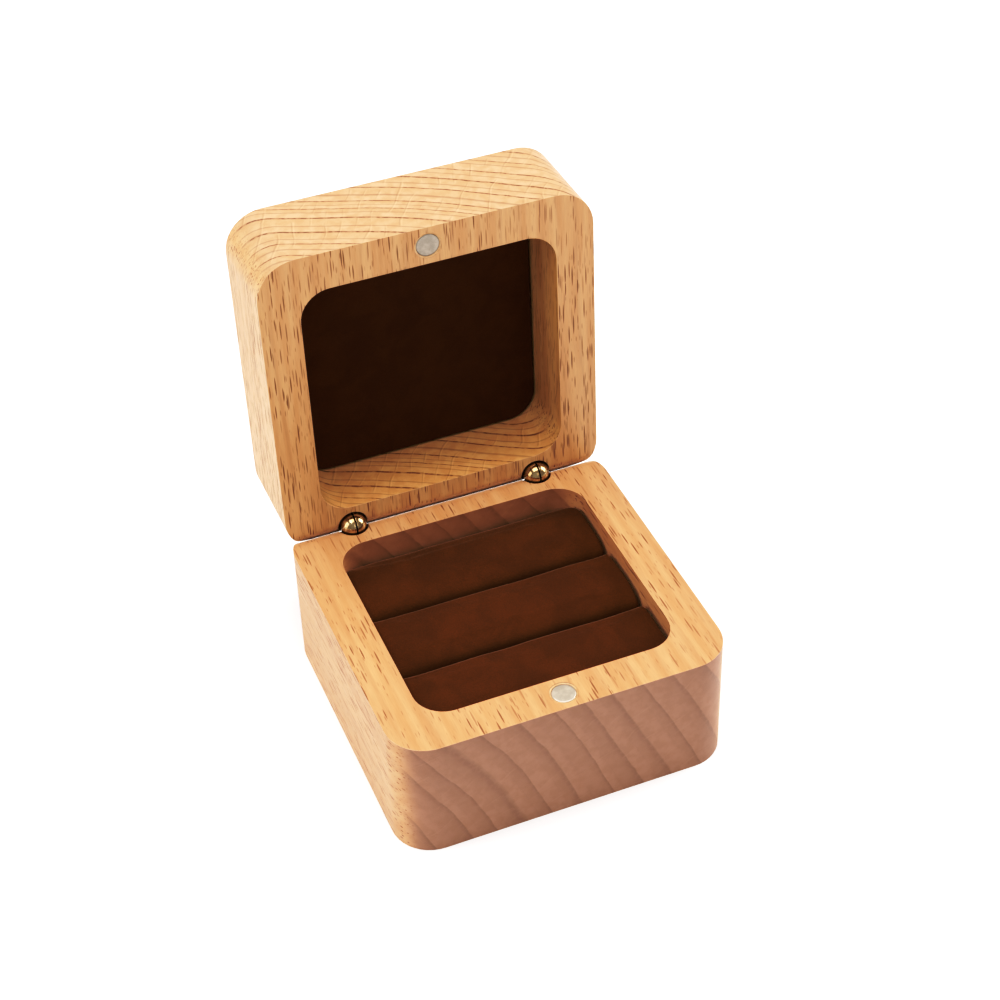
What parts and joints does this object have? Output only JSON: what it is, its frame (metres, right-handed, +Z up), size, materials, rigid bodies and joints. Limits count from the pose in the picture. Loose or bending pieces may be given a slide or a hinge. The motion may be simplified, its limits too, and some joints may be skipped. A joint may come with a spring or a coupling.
{
  "type": "ring box",
  "caption": "Rounded square wooden ring box with a hinged hollow lid, magnet closure, and velvet cushions that hold rings upright between them.",
  "frame": {"origin": "middle of the base's flat underside, which stands on a surface", "axes": "+X to the right, +Y towards the hinged rear edge, so -Y is the front with the magnets, +Z up; the lid is stored open and leans behind the base"},
  "size_m": [0.06, 0.0771, 0.0811],
  "materials": {
    "beech": "satin",
    "brass": "polished",
    "nickel": "satin",
    "velvet": "matte",
    "foam": "matte",
    "card": "matte"
  },
  "bodies": {
    "base": {"base_shell": "beech", "base_magnet": "nickel", "insert_board": "card", "rear_cushion_core": "foam", "rear_cushion_cover": "velvet", "middle_cushion_core": "foam", "middle_cushion_cover": "velvet", "front_cushion_core": "foam", "front_cushion_cover": "velvet", "left_hinge_base_barrel": "brass", "left_hinge_pin": "brass", "right_hinge_base_barrel": "brass", "right_hinge_pin": "brass"},
    "lid": {"lid_shell": "beech", "lid_magnet": "nickel", "lid_liner_board": "card", "lid_liner_velvet": "velvet", "left_hinge_lid_barrel": "brass", "right_hinge_lid_barrel": "brass"}
  },
  "joints": [
    {"name": "lid_hinge", "type": "hinge", "parent": "base", "child": "lid", "pos_m": [0, 0.02695, 0.02415], "axis": [1, 0, 0], "range_deg": [0, 92]}
  ]
}
